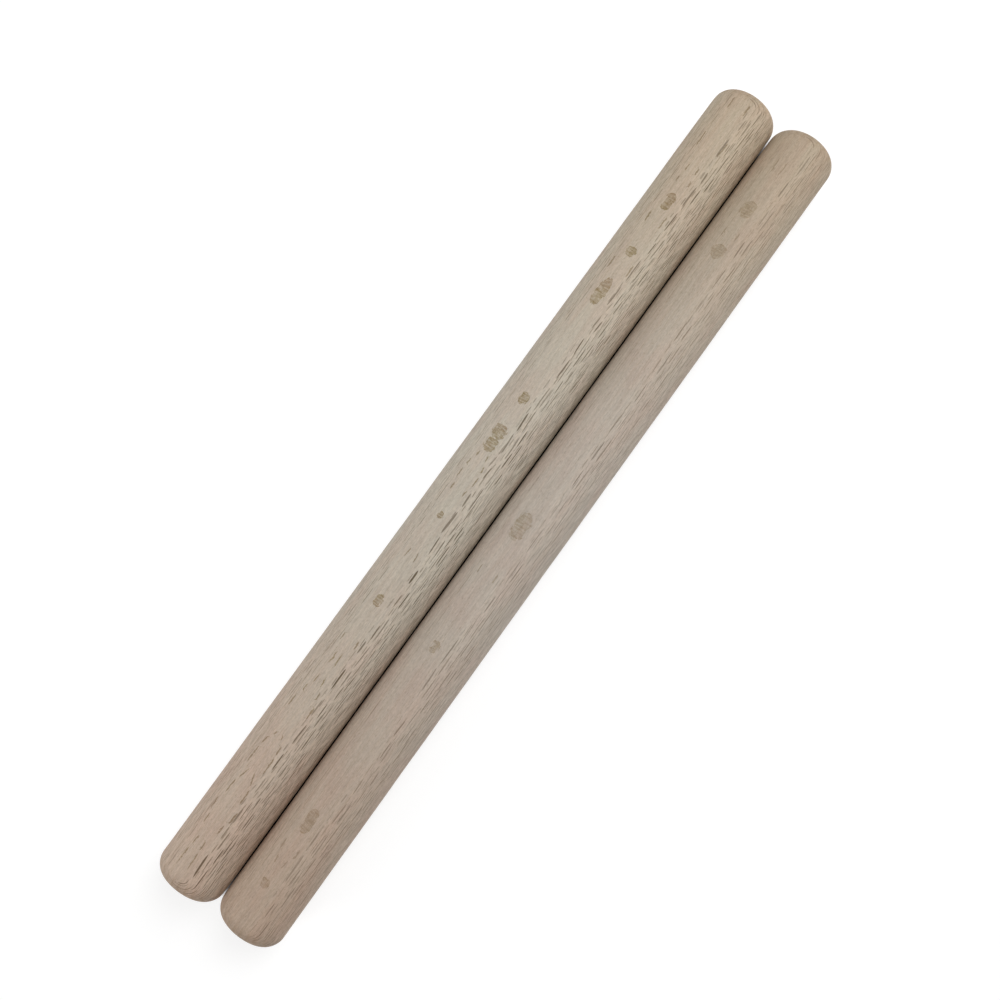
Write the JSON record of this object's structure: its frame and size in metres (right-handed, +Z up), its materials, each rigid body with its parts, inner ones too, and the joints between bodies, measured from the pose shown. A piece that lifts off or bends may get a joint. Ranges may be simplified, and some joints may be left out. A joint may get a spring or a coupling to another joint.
{
  "type": "claves",
  "caption": "Pair of plain cylindrical hardwood percussion sticks with rounded ends, lying side by side; one is held and struck with the other.",
  "frame": {"origin": "on the surface the sticks lie on, midway between the two sticks and midway along them", "axes": "+X along the sticks, +Y from the striking clave to the held clave, +Z up"},
  "size_m": [0.3, 0.0444, 0.022],
  "materials": {
    "held_beech": "matte",
    "striking_beech": "matte"
  },
  "bodies": {
    "held": {"held_clave": "held_beech"},
    "striking": {"striking_clave": "striking_beech"}
  },
  "joints": [
    {"name": "strike_stroke", "type": "slide", "parent": "held", "child": "striking", "axis": [0, -1, 0], "range_m": [0, 0.15]}
  ]
}
